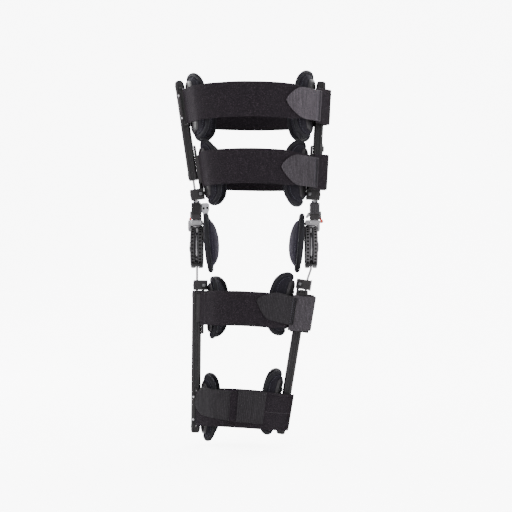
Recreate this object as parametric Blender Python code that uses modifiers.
"""Post-operative range-of-motion knee brace: two hinged, telescoping side bars joined by four
encircling straps.

Modelled about the middle of the knee axis: +X to the viewer's right, -Y to the front, +Z up. The
last section moves everything along +X, so that the origin lies on the left rivet's cap.
"Inner" is towards the middle of the leg. Dimensions are mm; meshes are built in metres.
"""
import math
from typing import NamedTuple

import bmesh
import bpy
from mathutils import Matrix, Vector

MM = 0.001

# ---------------------------------------------------------------- driving dimensions, mm and degrees
SIDES = {"left": -1.0, "right": 1.0}  # sign of x on each side

HINGE_X = 91.0          # half distance between the two hinge planes
DIAL_R = 34.0
DIAL_T = 7.0
DIAL_GAP = 5.0          # space between the two dials, where the lower arm turns
NOTCH_DEPTH = 2.6
NOTCH_PITCH = 10
AXLE_R = 4.0
RIVET_R = 9.0
RIVET_PLAY = 0.3        # between the outer dial and the rivet's cap
RIVET_CAP_T = 2.8
RIVET_SEAT = DIAL_GAP / 2 + DIAL_T + RIVET_PLAY  # underside of the cap, from the hinge plane

PLATE_T = 3.0           # steel side bar
PLATE_W = 18.0
FIT = 0.4               # clearance round the plate in yoke, block and housing
CHANNEL_FIT = 0.45      # clearance round the plate in the channel
SLOT_X, SLOT_Y = PLATE_T / 2 + FIT, PLATE_W / 2 + FIT  # half section of the plate's slots
CHANNEL_X, CHANNEL_Y = 14.0, 27.0                      # telescoping channel section

STOP_ANGLE = 21.8       # least angle between a stop and the lower arm's lobe
FLEX_MAX, FLEX_MIN = 120.0, -10.0

CUFF_T = 2.6
PAD_T = 8.0
STRAP_T = 2.0
STRAP_HALF = 27.0       # half height of a strap


class Bar(NamedTuple):
    part: str
    side: str
    x: float               # point where the steel plate enters the bar
    z: float
    lean: float            # about Y: +Z turns towards +X
    plate_end: float       # length of plate beyond that point
    channel_span: tuple    # start and end of the channel along the bar
    channel_offset: float  # local x of the channel's centre line
    near_z: float          # local z of the slot plates near the knee
    far_z: float = None    # local z of the fixing on the channel, where there is one

    @property
    def key(self):
        return f"{self.part}_{self.side}"

    @property
    def sign(self):
        return SIDES[self.side]

    @property
    def up(self):
        """+1 on the thigh, whose bars run up from the knee, and -1 on the calf."""
        return 1.0 if self.part == "thigh" else -1.0

    @property
    def frame(self):
        """World matrix: local +Z runs along the bar upwards, and local X across it."""
        return shift(self.x, 0, self.z) @ turn(self.lean, "Y")

    def channel_x(self, z):
        """World x of the channel's centre line at a world height."""
        return self.x + math.tan(math.radians(self.lean)) * (z - self.z) + self.channel_offset


BARS = {bar.key: bar for bar in (
    Bar("thigh", "left", -92.0, 73.0, -8.3, 178.0, (34.0, 194.5), 0.0, 49.0, 151.5),
    Bar("thigh", "right", 97.0, 73.0, 3.1, 175.0, (34.0, 191.0), 0.0, 46.0, 149.0),
    Bar("calf", "left", -91.0, -50.0, 0.6, 170.0, (19.8, 246.0), 0.0, -47.0, -206.0),
    Bar("calf", "right", 86.0, -50.0, 9.3, 172.0, (19.8, 252.0), -3.4, -55.5),
)}


# ---------------------------------------------------------------- scene and materials
for old in list(bpy.data.objects):
    bpy.data.objects.remove(old)

parts = bpy.data.collections.new("knee_brace")
cutters = bpy.data.collections.new("cutters")
for group in (parts, cutters):
    bpy.context.scene.collection.children.link(group)


def material(name, colour, roughness, metallic=0):
    mat = bpy.data.materials.new(name)
    mat.use_nodes = True
    inputs = mat.node_tree.nodes["Principled BSDF"].inputs
    inputs["Base Color"].default_value = (*colour, 1)
    inputs["Roughness"].default_value = roughness
    inputs["Metallic"].default_value = metallic
    mat.diffuse_color = (*colour, 1)
    return mat


BLACK = material("moulded_black", colour=(0.045, 0.042, 0.045), roughness=0.45)
CUFF = material("cuff_plastic", colour=(0.06, 0.055, 0.058), roughness=0.38)
STEEL = material("bar_steel", colour=(0.55, 0.54, 0.56), roughness=0.3, metallic=1)
CAST = material("yoke_casting", colour=(0.42, 0.42, 0.42), roughness=0.4, metallic=0.8)
DIAL = material("dial_black", colour=(0.03, 0.028, 0.03), roughness=0.4)
RED = material("lock_red", colour=(0.75, 0.06, 0.05), roughness=0.4)
GREY = material("stop_grey", colour=(0.4, 0.4, 0.41), roughness=0.4)
PAD = material("pad_fabric", colour=(0.02, 0.018, 0.025), roughness=0.9)
STRAP = material("strap_fabric", colour=(0.03, 0.025, 0.03), roughness=0.95)


# ---------------------------------------------------------------- placing
def shift(x, y, z):
    """Translation in mm."""
    return Matrix.Translation(Vector((x, y, z)) * MM)


def turn(degrees, axis):
    return Matrix.Rotation(math.radians(degrees), 4, axis)


# local XY laid into the world XZ plane; local Z runs along -Y
XZ = turn(90, "X")
# local XY laid into the world YZ plane: local X is -Y, local Y is +Z, local Z is -X
YZ = Matrix(((0, 0, -1, 0), (-1, 0, 0, 0), (0, 1, 0, 0), (0, 0, 0, 1)))


# ---------------------------------------------------------------- building solids
def new_object(name, data, mat, matrix=None, collection=parts):
    obj = bpy.data.objects.new(name, data)
    collection.objects.link(obj)
    if matrix is not None:
        obj.matrix_world = matrix
    data.materials.clear()
    data.materials.append(mat)
    return obj


def mesh_object(name, verts, faces, mat, matrix=None, edges=()):
    """A mesh from computed points in mm."""
    mesh = bpy.data.meshes.new(name)
    mesh.from_pydata([Vector(v) * MM for v in verts], edges, faces)
    mesh.update()
    return new_object(name, mesh, mat, matrix)


def outline(name, loops, half, mat, matrix, collection=parts):
    """A flat outline in local XY, with holes as further loops, extruded by half each way."""
    curve = bpy.data.curves.new(name, "CURVE")
    curve.dimensions = "2D"
    curve.fill_mode = "BOTH"
    curve.extrude = half * MM
    for loop in loops:
        spline = curve.splines.new("POLY")
        spline.points.add(len(loop) - 1)
        for point, (x, y) in zip(spline.points, loop):
            point.co = (x * MM, y * MM, 0, 1)
        spline.use_cyclic_u = True
    return new_object(name, curve, mat, matrix, collection)


def outline_mesh(name, loops, half, mat, matrix, collection=parts):
    """An outline turned into a mesh with welded caps, as the booleans need."""
    source = outline(name, loops, half, mat, matrix, collection)
    graph = bpy.context.evaluated_depsgraph_get()
    mesh = bpy.data.meshes.new_from_object(source.evaluated_get(graph))
    bm = bmesh.new()
    bm.from_mesh(mesh)
    bmesh.ops.remove_doubles(bm, verts=bm.verts, dist=1e-6)
    bmesh.ops.recalc_face_normals(bm, faces=bm.faces)
    bm.to_mesh(mesh)
    bm.free()
    bpy.data.objects.remove(source)  # frees the name
    return new_object(name, mesh, mat, matrix, collection)


def prism(name, points, half, mat, matrix):
    """A flat outline without holes in local XY, as a closed solid of half thickness each way."""
    n = len(points)
    area = sum(points[i - 1][0] * points[i][1] - points[i][0] * points[i - 1][1] for i in range(n))
    if area < 0:
        points = points[::-1]
    verts = [(x, y, level) for level in (-half, half) for x, y in points]
    faces = [tuple(range(n))[::-1], tuple(range(n, 2 * n))]
    faces += [(i, (i + 1) % n, n + (i + 1) % n, n + i) for i in range(n)]
    return mesh_object(name, verts, faces, mat, matrix)


def loft(name, sections, mat):
    """A closed solid through four-cornered sections."""
    verts = [corner for section in sections for corner in section]
    last = len(verts) - 4
    faces = [(i + k, i + (k + 1) % 4, i + 4 + (k + 1) % 4, i + 4 + k)
             for i in range(0, last, 4) for k in range(4)]
    faces += [(3, 2, 1, 0), (last, last + 1, last + 2, last + 3)]
    return mesh_object(name, verts, faces, mat)


def box(name, low, high, mat, matrix, collection=parts):
    """A box between two corners in mm."""
    mesh = bpy.data.meshes.new(name)
    bm = bmesh.new()
    bmesh.ops.create_cube(bm, size=1)
    for v in bm.verts:
        v.co = [((h + l) / 2 + c * (h - l)) * MM for c, l, h in zip(v.co, low, high)]
    bm.to_mesh(mesh)
    bm.free()
    return new_object(name, mesh, mat, matrix, collection)


def turned(name, profile, mat, matrix, steps):
    """A profile of (radius, height), top to bottom on its outer side, turned about local Z."""
    edges = [(i, i + 1) for i in range(len(profile) - 1)]
    obj = mesh_object(name, [(r, 0, z) for r, z in profile], [], mat, matrix, edges)
    screw = obj.modifiers.new("turn", "SCREW")
    screw.steps = screw.render_steps = steps
    screw.use_merge_vertices = True
    screw.merge_threshold = 0.00001


def combine(obj, cutter, operation):
    cutter.hide_render = True
    cutter.display_type = "WIRE"
    boolean = obj.modifiers.new("cut_" + cutter.name, "BOOLEAN")
    boolean.operation = operation
    boolean.solver = "EXACT"
    boolean.object = cutter


def join_box(obj, name, low, high, frame):
    combine(obj, box(name, low, high, BLACK, frame, cutters), "UNION")


def cut_box(obj, name, low, high, frame):
    combine(obj, box(name, low, high, BLACK, frame, cutters), "DIFFERENCE")


# ---------------------------------------------------------------- flat outlines
def circle(radius, n=20):
    angles = [2 * math.pi * k / n for k in range(n)]
    return [(radius * math.cos(a), radius * math.sin(a)) for a in angles]


def rect(half_x, half_y):
    return [(-half_x, -half_y), (half_x, -half_y), (half_x, half_y), (-half_x, half_y)]


def rounded(width, depth, radius, centre_x=0.0):
    """A rounded rectangle with two segments to a corner."""
    points = []
    for sx, sy, start in ((1, 1, 0), (-1, 1, 90), (-1, -1, 180), (1, -1, 270)):
        for step in (0, 45, 90):
            a = math.radians(start + step)
            points.append((centre_x + sx * (width / 2 - radius) + radius * math.cos(a),
                           sy * (depth / 2 - radius) + radius * math.sin(a)))
    return points


def bent_plate(points, thickness):
    """Closed outline of a polyline given thickness, with mitred bends."""
    points = [Vector(p) for p in points]
    runs = [b - a for a, b in zip(points, points[1:])]
    normals = [Vector((-run.y, run.x)).normalized() for run in runs]
    left, right = [], []
    for p, before, after in zip(points, normals[:1] + normals, normals + normals[-1:]):
        mitre = (before + after).normalized() / math.cos(before.angle(after) / 2)
        left.append(tuple(p + mitre * thickness / 2))
        right.append(tuple(p - mitre * thickness / 2))
    return left + right[::-1]


def notched_rim():
    """A dial's rim, clockwise from the top, plain round the bottom."""
    points = []
    for angle in range(0, 360, NOTCH_PITCH):
        corners = [(-2.6, DIAL_R), (2.6, DIAL_R)]  # (degrees from the notch's middle, radius)
        if not 150 <= angle <= 210:
            corners[1:1] = [(-1.3, DIAL_R - NOTCH_DEPTH), (1.3, DIAL_R - NOTCH_DEPTH)]
        for offset, radius in corners:
            a = math.radians(angle + offset)
            points.append((radius * math.sin(a), radius * math.cos(a)))
    return points


# ---------------------------------------------------------------- hinge
YOKE_INNER, YOKE_CHEEK, YOKE_OUTER = 81.8, 101.0, 105.2  # distances from the middle of the knee
YOKE_LOW, YOKE_HIGH = 34.7, 42.9
YOKE_CHEEK_LOW = 24.5
YOKE_SLOT_FLOOR = 36.6
YOKE_CHAMFER = 1.5
YOKE_HALF_Y = 9.4
ARM_FOOT_Z = 37.0

BLOCK_X, BLOCK_Y, BLOCK_HALF_Z = 15.5, 27, 13.5
BLOCK_Z = 57.0

# drop-lock slider: (distance outward from the block's outer face, z)
LOCK_OUTLINE = {
    "left": [(0.35, 43.3), (0.35, 57.0), (2.6, 57.0), (2.7, 47.0), (5.0, 46.4), (5.0, 43.3)],
    "right": [(0.35, 43.4), (0.9, 43.4), (0.9, 38.2), (5.6, 38.2),
              (5.9, 42.5), (3.0, 45.0), (2.9, 57.0), (0.35, 57.0)],
}
LOCK_HALF_Y = 5.0

# stop: (across, radius), a head that spans both rims and a tooth between the dials
STOP_OUTLINE = [(-1.7, 28.0), (1.7, 28.0), (1.7, 34.4), (7.6, 34.4),
                (7.6, 37.2), (-7.6, 37.2), (-7.6, 34.4), (-1.7, 34.4)]
STOP_HALF = 2.2
# turn of each stop from the top of the dials towards the front
STOP_TURNS = {"extension_stop": FLEX_MIN - STOP_ANGLE, "flexion_stop": FLEX_MAX + STOP_ANGLE}

# lower arm: (z, half width) of its lobe and of the straight part below its hub
ARM_LOBE = [(30.0, 8.0), (23.0, 8.0), (22.2, 9.1)]
ARM_NECK = [(-22.2, 9.1), (-35.5, 9.0)]
HUB_R = 24
HUB_START = 22.3        # degrees of the hub's arc left out at each end
HUB_STEPS = 9

CONDYLE_LEAN = 5.0
CONDYLE_X, CONDYLE_Z = 78.2, 6
# condyle pad: (radius, height towards the knee)
CONDYLE_PROFILE = [
    (0, 25.0), (16, 24.2), (28, 21.4), (37, 17.0), (42, 13.2),
    (45.2, 10.5), (46.0, 8.0), (46.0, 2.5), (44, 0), (0, 0),
]


def dials(side):
    sign = SIDES[side]
    spacing = DIAL_GAP / 2 + DIAL_T / 2
    for label, offset in (("inner_dial", -spacing), ("outer_dial", spacing)):
        outline(f"{label}_{side}", [notched_rim(), circle(AXLE_R + 0.5)], DIAL_T / 2, DIAL,
                shift(sign * (HINGE_X + offset), 0, 0) @ YZ)


def pivot_rivet(side):
    """Axle with a chamfered cap on its outer end."""
    sign = SIDES[side]
    top, inner_end = RIVET_SEAT + RIVET_CAP_T, -RIVET_SEAT + 0.5
    profile = [(0, top), (6.5, top), (RIVET_R, RIVET_SEAT + 1.4), (RIVET_R, RIVET_SEAT),
               (AXLE_R, RIVET_SEAT), (AXLE_R, inner_end), (0, inner_end)]
    outward = turn(90 * sign, "Y")  # local +Z points away from the knee
    turned(f"pivot_rivet_{side}", profile, STEEL, shift(sign * HINGE_X, 0, 0) @ outward, 24)


def hinge_yoke(side):
    """Slab over both dials with an outer cheek, and a slot for the upper arm's foot."""
    sign = SIDES[side]
    foot = sign * BARS[f"thigh_{side}"].x
    points = [
        (YOKE_OUTER, YOKE_CHEEK_LOW), (YOKE_CHEEK, YOKE_CHEEK_LOW), (YOKE_CHEEK, YOKE_LOW),
        (YOKE_INNER, YOKE_LOW), (YOKE_INNER, YOKE_HIGH - YOKE_CHAMFER),
        (YOKE_INNER + YOKE_CHAMFER, YOKE_HIGH), (foot - SLOT_X, YOKE_HIGH),
        (foot - SLOT_X, YOKE_SLOT_FLOOR), (foot + SLOT_X, YOKE_SLOT_FLOOR),
        (foot + SLOT_X, YOKE_HIGH), (YOKE_OUTER - YOKE_CHAMFER, YOKE_HIGH),
        (YOKE_OUTER, YOKE_HIGH - YOKE_CHAMFER),
    ]
    if side == "right":
        points[1:] = points[:0:-1]  # keeps the outline counterclockwise
    outline(f"hinge_yoke_{side}", [[(sign * x, z) for x, z in points]], YOKE_HALF_Y, CAST, XZ)


def upper_arm(side):
    """Steel plate from the yoke up through block and housing into the channel."""
    bar = BARS[f"thigh_{side}"]
    lean = math.radians(bar.lean)
    end = (bar.x + math.sin(lean) * bar.plate_end, bar.z + math.cos(lean) * bar.plate_end)
    path = [(bar.x, ARM_FOOT_Z), (bar.x, bar.z), end]
    outline(f"upper_arm_{side}", [bent_plate(path, PLATE_T)], PLATE_W / 2, STEEL, XZ)


def hinge_block(side):
    outline(f"hinge_block_{side}", [rounded(BLOCK_X, BLOCK_Y, 2.0), rect(SLOT_X, SLOT_Y)],
            BLOCK_HALF_Z, BLACK, shift(BARS[f"thigh_{side}"].x, 0, BLOCK_Z))


def quick_lock(side):
    """Red drop-lock slider on the block's outer face."""
    sign = SIDES[side]
    face = BARS[f"thigh_{side}"].x + sign * BLOCK_X / 2
    points = [(face + sign * out, z) for out, z in LOCK_OUTLINE[side]]
    outline(f"quick_lock_{side}", [points], LOCK_HALF_Y, RED, XZ)


def stops(side):
    for label, angle in STOP_TURNS.items():
        matrix = shift(SIDES[side] * HINGE_X, 0, 0) @ turn(angle, "X") @ XZ
        outline(f"{label}_{side}", [STOP_OUTLINE], STOP_HALF, GREY, matrix)


def lower_arm(side):
    """Lobe, hub and bar in one steel plate, bored for the axle."""
    bar = BARS[f"calf_{side}"]
    lean = math.radians(bar.lean)
    hinge_x = SIDES[side] * HINGE_X
    hub = []
    for k in range(1, HUB_STEPS):
        a = math.radians(HUB_START + (180 - 2 * HUB_START) * k / HUB_STEPS)
        hub.append((HUB_R * math.cos(a), HUB_R * math.sin(a)))
    stations = [(hinge_x, z, half) for z, half in ARM_LOBE + hub + ARM_NECK]
    stations += [
        (bar.x, bar.z, PLATE_W / 2),
        (bar.x - math.sin(lean) * bar.plate_end, bar.z - math.cos(lean) * bar.plate_end,
         PLATE_W / 2),
    ]
    t = PLATE_T / 2
    sections = [[(x - t, w, z), (x + t, w, z), (x + t, -w, z), (x - t, -w, z)]
                for x, z, w in stations]
    arm = loft(f"lower_arm_{side}", sections, STEEL)
    hole = outline_mesh(f"cut_axle_{side}", [circle(AXLE_R + 0.4)], 5, STEEL,
                        shift(hinge_x, 0, 0) @ YZ, cutters)
    combine(arm, hole, "DIFFERENCE")


def condyle_pad(side):
    """Padded disc on the inner side of the hinge, leaning with the knee."""
    sign = SIDES[side]
    matrix = shift(sign * CONDYLE_X, 0, CONDYLE_Z) @ turn((CONDYLE_LEAN - 90) * sign, "Y")
    turned(f"condyle_pad_{side}", CONDYLE_PROFILE, PAD, matrix, 28)


for side in SIDES:
    for build in (dials, pivot_rivet, hinge_yoke, upper_arm, hinge_block, quick_lock, stops,
                  lower_arm, condyle_pad):
        build(side)

# ---------------------------------------------------------------- channels, housings and buttons
# strap rings: distance of the rod beyond the channel's outer face, and its half height
RING_OUT = {"upper_thigh": 5.6, "lower_thigh": 7.0, "upper_calf": 9.0}
RING_HALF = {"upper_thigh": 25.6, "lower_thigh": 25.8, "upper_calf": 28.0}
RING_Y = -12.8
ROD_HALF = 1.5
RING_ARM_T = 2.6        # height of each arm
PLATE_HALF_Z = 22       # half height of the left slot plates, webs and strips

# housing: start and end along the bar, reach to the outer side, reach to the inner side
HOUSING = {"thigh": (2.2, 19.0, 7.5, 14.0), "calf": (3.0, 18.6, 5.2, 16.5)}
HOUSING_HALF_Y = 13.0
CARRIER_GAP = 8.0       # from the channel's centre line to the carrier strip
CARRIER_T = 3.2
CARRIER_END = 88.0
SLOT_PLATE_Y = CHANNEL_Y / 2 + 0.6  # inner face of the slot plates
SLOT_PLATE_T = 2.4

BUTTON_INSET = 5.0      # from the housing's inner side
BUTTON_HALF = 2.5
BUTTON_FIT = 0.4


def ring_bracket(host, bar, ring_z, level, on_channel):
    """Strap loop on the bar's outer side: two arms and a rod, joined to the host."""
    face = bar.channel_offset + CHANNEL_X / 2
    rod_x, half = face + RING_OUT[level], RING_HALF[level]
    tip = (rod_x + ROD_HALF, RING_Y + 2.0)
    if on_channel:
        arm_plans = [((face - 1.4, -13.0), tip)]
    else:  # a thin run past the channel's front, then a deeper one out to the rod
        front = -SLOT_PLATE_Y - SLOT_PLATE_T
        arm_plans = [((bar.channel_offset, front), (rod_x, front + SLOT_PLATE_T)),
                     ((face + 0.8, front), tip)]
    boxes = [((rod_x - ROD_HALF, RING_Y - ROD_HALF, ring_z - half - 1.5),
              (rod_x + ROD_HALF, RING_Y + ROD_HALF, ring_z + half + 1.5))]
    for low in (half, -half - RING_ARM_T):
        for start, end in arm_plans:
            boxes.append(((*start, ring_z + low), (*end, ring_z + low + RING_ARM_T)))
    for k, (low, high) in enumerate(boxes):
        join_box(host, f"join_ring_{host.name}_{k}", low, high, bar.frame)


def channel(bar):
    start, end = bar.channel_span
    offset, frame = bar.channel_offset, bar.frame
    slot = rect(PLATE_T / 2 + CHANNEL_FIT, PLATE_W / 2 + CHANNEL_FIT)
    body = outline_mesh(f"{bar.part}_channel_{bar.side}",
                        [rounded(CHANNEL_X, CHANNEL_Y, 3.0, offset), slot],
                        (end - start) / 2, BLACK, frame @ shift(0, 0, bar.up * (start + end) / 2))
    if bar.side == "left":
        for label, y0, y1 in (("strip", -15.2, -12.5), ("strip_back", 12.5, 15.2)):
            join_box(body, f"join_{label}_{bar.key}",
                     (offset - 5.6, y0, bar.far_z - PLATE_HALF_Z),
                     (offset + 1.0, y1, bar.far_z + PLATE_HALF_Z), frame)
    elif bar.part == "thigh":
        ring_bracket(body, bar, bar.far_z, "upper_thigh", on_channel=True)


def slot_plates(housing, bar, carrier_x0, carrier_x1):
    """Plates in front of and behind the channel, where the near strap is fastened, and the webs
    that tie them to the carrier. carrier_x0, carrier_x1: the carrier's outer and inner faces."""
    level = "lower_thigh" if bar.part == "thigh" else "upper_calf"
    if bar.key == "thigh_left":  # these plates reach inwards from the carrier
        x0, x1 = sorted((carrier_x0, carrier_x1 - bar.sign * 2.4))
    else:
        reach = 0.0 if bar.side == "left" else 1.0
        x0, x1 = sorted((carrier_x1, bar.channel_offset + reach))
    web_x0, web_x1 = sorted((carrier_x0, carrier_x1))
    half = PLATE_HALF_Z if bar.side == "left" else RING_HALF[level] + RING_ARM_T
    outer_y = SLOT_PLATE_Y + SLOT_PLATE_T
    # y spans of the plate and of the web, front then back
    spans = (((-outer_y, -SLOT_PLATE_Y), (-outer_y, -10)), ((SLOT_PLATE_Y, outer_y), (10, outer_y)))
    for k, ((y0, y1), (web_y0, web_y1)) in enumerate(spans):
        join_box(housing, f"join_plate_{bar.key}_{k}",
                 (x0, y0, bar.near_z - half), (x1, y1, bar.near_z + half), bar.frame)
        join_box(housing, f"join_web_{bar.key}_{k}",
                 (web_x0, web_y0, bar.near_z - PLATE_HALF_Z),
                 (web_x1, web_y1, bar.near_z + PLATE_HALF_Z), bar.frame)
    if bar.side == "right":
        ring_bracket(housing, bar, bar.near_z, level, on_channel=False)


def housing_and_button(bar):
    """Block round the plate with a carrier strip along its inner side, and its release button."""
    inward, up, frame = -bar.sign, bar.up, bar.frame
    start, end, reach_out, reach_in = HOUSING[bar.part]
    gap = CARRIER_GAP - bar.channel_offset * bar.sign
    carrier_x0, carrier_x1 = gap * inward, (gap + CARRIER_T) * inward
    points = [
        (-reach_out * inward, up * start), (reach_in * inward, up * start),
        (reach_in * inward, up * end), (carrier_x1, up * end), (carrier_x1, up * CARRIER_END),
        (carrier_x0, up * CARRIER_END), (carrier_x0, up * end), (-reach_out * inward, up * end),
    ]
    housing = prism(f"{bar.part}_lock_housing_{bar.side}", points, HOUSING_HALF_Y, BLACK,
                    frame @ XZ)
    cut_high, cut_shift = (60, 0) if bar.part == "thigh" else (30, -20)
    cut_box(housing, f"cut_plate_{bar.key}", (-SLOT_X, -SLOT_Y, -30), (SLOT_X, SLOT_Y, cut_high),
            frame @ shift(0, 0, cut_shift))

    x, z = inward * (reach_in - BUTTON_INSET), up * (start + end) / 2
    half = BUTTON_HALF + BUTTON_FIT
    cut_box(housing, f"cut_button_{bar.key}",
            (x - half, -14.0, z - half), (x + half, -7.5, z + half), frame)
    slot_plates(housing, bar, carrier_x0, carrier_x1)
    button = box(f"{bar.part}_release_button_{bar.side}",
                 (x - BUTTON_HALF, -15.5, z - BUTTON_HALF),
                 (x + BUTTON_HALF, -10.0, z + BUTTON_HALF), GREY, frame)
    bevel = button.modifiers.new("edges", "BEVEL")
    bevel.width = 0.5 * MM
    bevel.segments = 1


for bar in BARS.values():
    channel(bar)
    housing_and_button(bar)

# ---------------------------------------------------------------- cuffs and pads
SHELL_COLUMNS, SHELL_ROWS = 10, 6
SHELL_DIP = 0.16        # how much lower a shell's middle is than its lobes, as a share
SQUARENESS = 0.55       # 1 keeps a shell's outline rectangular, 0 makes it round
PAD_CLEARANCE = 0.3     # between cuff and pad


class Wrap(NamedTuple):
    """A cuff and the pad inside it. Reaches are degrees round the limb, halves are half heights."""
    level: str
    side: str
    centre: float       # along the bar
    radius: float
    surface: float      # outer face of the cuff, inward of the plate line
    cuff_reach: float
    pad_front: float
    pad_back: float
    cuff_half: float
    pad_half: float


WRAPS = (
    Wrap("upper_thigh", "left", 147.5, 101.0, 8.6, 31, 44, 50, 43, 53),
    Wrap("upper_thigh", "right", 150.0, 101.0, 8.6, 31, 46, 50, 43, 55),
    Wrap("lower_thigh", "left", 42.0, 76.0, 14.6, 33, 48, 55, 42, 53),
    Wrap("lower_thigh", "right", 42.0, 76.0, 14.6, 33, 58, 51, 42, 53),
    Wrap("upper_calf", "left", -46.0, 66.0, 16.9, 30, 33, 55, 41, 51),
    Wrap("upper_calf", "right", -46.0, 66.0, 18.4, 36, 63, 55, 41, 52),
    Wrap("lower_calf", "left", -205.0, 58.0, 8.6, 36, 50, 55, 43, 54),
    Wrap("lower_calf", "right", -203.0, 58.0, 12.0, 36, 57, 55, 42, 53),
)


def bar_at(level, side):
    return BARS[f"{level.split('_')[1]}_{side}"]


def lobed(a, b):
    """Square (-1..1) to a rounded square, keeping its grid."""
    round_a, round_b = a * math.sqrt(1 - b * b / 2), b * math.sqrt(1 - a * a / 2)
    return (SQUARENESS * a + (1 - SQUARENESS) * round_a,
            SQUARENESS * b + (1 - SQUARENESS) * round_b)


def shell(kind, wrap, inset, front, back, half, thickness, mat):
    """A curved plate on a bar, its outer face inset from the cuff's."""
    bar = bar_at(wrap.level, wrap.side)
    radius, surface = wrap.radius - inset, wrap.surface + inset
    verts, faces = [], []
    for j in range(SHELL_ROWS + 1):
        for i in range(SHELL_COLUMNS + 1):
            across, along = lobed(-1 + 2 * i / SHELL_COLUMNS, -1 + 2 * j / SHELL_ROWS)
            angle = math.radians(across * (front if across < 0 else back))
            height = half * (1 - SHELL_DIP * (1 - min(1, abs(across) * 1.35)) ** 2)
            x = bar.sign * (radius * math.cos(angle) - surface - radius)
            verts.append((x, radius * math.sin(angle), wrap.centre + along * height))
    row = SHELL_COLUMNS + 1
    for j in range(SHELL_ROWS):
        for i in range(SHELL_COLUMNS):
            k = j * row + i
            face = (k, k + 1, k + row + 1, k + row)
            faces.append(face if wrap.side == "right" else face[::-1])
    obj = mesh_object(f"{wrap.level}_{kind}_{wrap.side}", verts, faces, mat, bar.frame)
    solidify = obj.modifiers.new("thickness", "SOLIDIFY")
    solidify.thickness = thickness * MM
    solidify.offset = -1


for wrap in WRAPS:
    shell("cuff", wrap, 0, wrap.cuff_reach, wrap.cuff_reach, wrap.cuff_half, CUFF_T, CUFF)
    shell("pad", wrap, CUFF_T + PAD_CLEARANCE, wrap.pad_front, wrap.pad_back, wrap.pad_half,
          PAD_T, PAD)

# ---------------------------------------------------------------- straps
FOLD_R = 3.4            # of the strap's middle round a ring's rod
FOLD_NARROWING = 2.6    # taken off the half height beyond the limb
LAP_OFFSET = 2.6        # between the strap and the tab lapped back over it
TAB_TIP_HALF = 4.0      # half height at the tab's tip
TAB_TAPER = 32          # length of the taper, along x


class Strap(NamedTuple):
    level: str
    z: tuple            # mid height at the left and right bars
    front: float        # half axes of the wrapped limb's section along y
    back: float
    start_x: float      # from the left channel's centre line
    start_y: float      # distance of the ends at the channels from the bars' plane
    inset: tuple        # from the left and right channels' centre lines to the limb's section
    tip_x: float = None  # tip of the folded-back tab, where there is one

    @property
    def bars(self):
        return [bar_at(self.level, side) for side in SIDES]

    @property
    def ends(self):
        """x of the two channels' centre lines."""
        return [bar.channel_x(z) for bar, z in zip(self.bars, self.z)]


STRAPS = (
    Strap("upper_thigh", (223.0, 222.0), 100.0, 98.0, 0.5, 16.8, (3.6, 3.6), 50.0),
    Strap("lower_thigh", (122.0, 119.0), 84.0, 82.0, 10.4, 18.4, (10.6, 10.6), 42.5),
    Strap("upper_calf", (-97.0, -105.0), 71.0, 74.0, 0.0, 18.4, (10.6, 11.0), 3.0),
    Strap("lower_calf", (-256.0, -264.5), 60.0, 60.0, 0.5, 16.8, (6.0, 6.0)),
)


def lerp(a, b, t):
    return a + (b - a) * t


def clamp(value, low=0.0, high=1.0):
    return min(high, max(low, value))


def blend(p0, d0, p1, d1, n, pull):
    """Points of a smooth curve from p0 heading d0 to p1 heading d1, its start left out."""
    reach = (p1 - p0).length * pull
    points = []
    for k in range(1, n + 1):
        t = k / n
        points.append((2 * t**3 - 3 * t**2 + 1) * p0 + (t**3 - 2 * t**2 + t) * reach * d0
                      + (3 * t**2 - 2 * t**3) * p1 + (t**3 - t**2) * reach * d1)
    return points


def ribbon(name, plan, halves, strap):
    """Closed ribbon along plan points, with its half height along the limb at each."""
    left, right = strap.ends
    slopes = [math.tan(math.radians(bar.lean)) for bar in strap.bars]
    sections = []
    for i, (p, half) in enumerate(zip(plan, halves)):
        heading = (plan[min(len(plan) - 1, i + 1)] - plan[max(0, i - 1)]).normalized()
        normal = Vector((-heading.y, heading.x)) * STRAP_T / 2
        share = clamp((p.x - left) / (right - left), -0.15, 1.15)
        z = lerp(*strap.z, share)
        slope = lerp(*slopes, clamp(share))
        corners = ((normal, -half), (normal, half), (-normal, half), (-normal, -half))
        sections.append([(p.x + o.x + slope * h, p.y + o.y, z + h) for o, h in corners])
    loft(name, sections, STRAP)


def limb_run(strap, depth, angles, toward):
    """Plan from the left channel on to the limb's ellipse. toward: -1 front, +1 back."""
    left, right = strap.ends
    low, high = left + strap.inset[0], right - strap.inset[1]
    centre = (low + high) / 2
    arc = []
    for degrees in angles:
        a = math.radians(degrees)
        arc.append(Vector((centre + (high - centre) * math.cos(a), depth * math.sin(a))))
    start = Vector((left + strap.start_x, toward * strap.start_y))
    first = (arc[1] - arc[0]).normalized()
    lead = blend(start, Vector((0.5, toward * 0.86)), arc[0], first, 4, 0.8)
    return [start] + lead + arc[1:]


def last_heading(points):
    return (points[-1] - points[-2]).normalized()


def back_strap(strap):
    """From the left channel's rear face round the limb to the right one."""
    plan = limb_run(strap, strap.back, range(142, 37, -8), 1)
    end = Vector((strap.ends[1], strap.start_y))
    plan += blend(plan[-1], last_heading(plan), end, Vector((0.5, -0.86)), 4, 0.8)
    ribbon(f"{strap.level}_back_strap", plan, [STRAP_HALF] * len(plan), strap)


def lapped_tab(limb, tip_x):
    """The limb's run followed backwards, offset outwards, as far as just past the tip."""
    last = len(limb) - 1
    lap = []
    for i in range(last, -1, -1):
        heading = (limb[min(i + 1, last)] - limb[max(0, i - 1)]).normalized()
        lap.append(limb[i] + Vector((heading.y, -heading.x)) * LAP_OFFSET)
        if lap[-1].x < tip_x:
            break
    return lap


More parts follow.
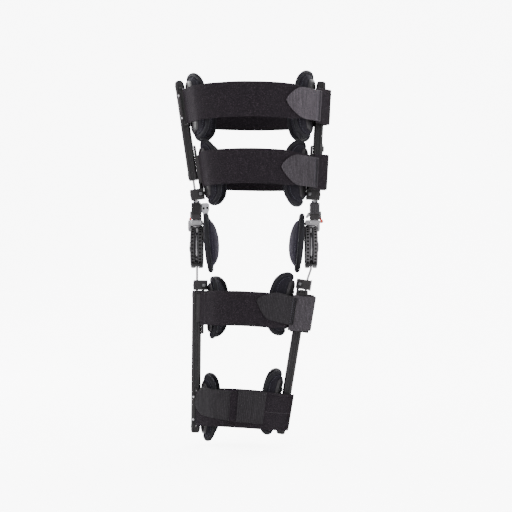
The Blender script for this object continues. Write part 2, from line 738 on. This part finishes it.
def folded_end(strap, limb, outer):
    """Plan and half heights out to the ring, round its rod and back to the tab's tip."""
    rod = Vector((outer + RING_OUT[strap.level], RING_Y))
    heading = (rod - limb[-1]).normalized()
    inside = Vector((-heading.y, heading.x))
    fold = blend(limb[-1], last_heading(limb), rod + inside * FOLD_R, heading, 6, 0.85)
    for k in range(1, 8):
        t = math.pi * k / 8
        fold.append(rod + (inside * math.cos(t) + heading * math.sin(t)) * FOLD_R)

    lap = lapped_tab(limb, strap.tip_x)
    leave = rod - inside * FOLD_R
    tab = [leave] + blend(leave, -heading, lap[0], (lap[1] - lap[0]).normalized(), 6, 0.85)
    tab += lap[1:]
    share = (tab[-2].x - strap.tip_x) / (tab[-2].x - tab[-1].x)
    tab[-1] = lerp(tab[-2], tab[-1], share)  # ends exactly at the tip

    full = STRAP_HALF - FOLD_NARROWING
    halves = [full] * len(fold)
    for p in tab:
        share = clamp((p.x - strap.tip_x) / TAB_TAPER)
        halves.append(TAB_TIP_HALF + (full - TAB_TIP_HALF) * math.sin(share * math.pi / 2))
    return fold + tab, halves


def plain_end(limb, outer):
    """Plan round the right channel's front corner and along its outer face."""
    side_x = outer + 1.6
    corner = Vector((side_x - 4, -CHANNEL_Y / 2 - 1.8))
    return blend(limb[-1], last_heading(limb), corner, Vector((0.8, 0.6)), 5, 0.8) + [
        Vector((side_x - 1.2, corner.y + 1.4)), Vector((side_x, corner.y + 4.2)),
        Vector((side_x, 0.0)), Vector((side_x, 9.0))]


def front_strap(strap):
    """From the left channel's front face round the limb to the right channel or its ring."""
    limb = limb_run(strap, strap.front, range(218, 311, 6), -1)
    outer = strap.ends[1] + CHANNEL_X / 2
    if strap.tip_x is None:
        end = plain_end(limb, outer)
        halves = [STRAP_HALF] * len(end)
    else:
        end, halves = folded_end(strap, limb, outer)
    ribbon(f"{strap.level}_front_strap", limb + end, [STRAP_HALF] * len(limb) + halves, strap)


for strap in STRAPS:
    back_strap(strap)
    front_strap(strap)

# ---------------------------------------------------------------- final frame
# the origin sits on the knee axis, on the flat end of the left pivot rivet's cap
to_origin = shift(HINGE_X + RIVET_SEAT + RIVET_CAP_T, 0, 0)
for obj in list(parts.objects) + list(cutters.objects):
    obj.matrix_world = to_origin @ obj.matrix_world

# everything below the knee hangs from one empty on the knee axis
axis = bpy.data.objects.new("knee_axis", None)
parts.objects.link(axis)
axis.empty_display_size = 0.05
bpy.context.view_layer.update()
for obj in list(parts.objects):
    if "calf" in obj.name or obj.name.startswith("lower_arm"):
        world = obj.matrix_world.copy()
        obj.parent = axis
        obj.matrix_world = world
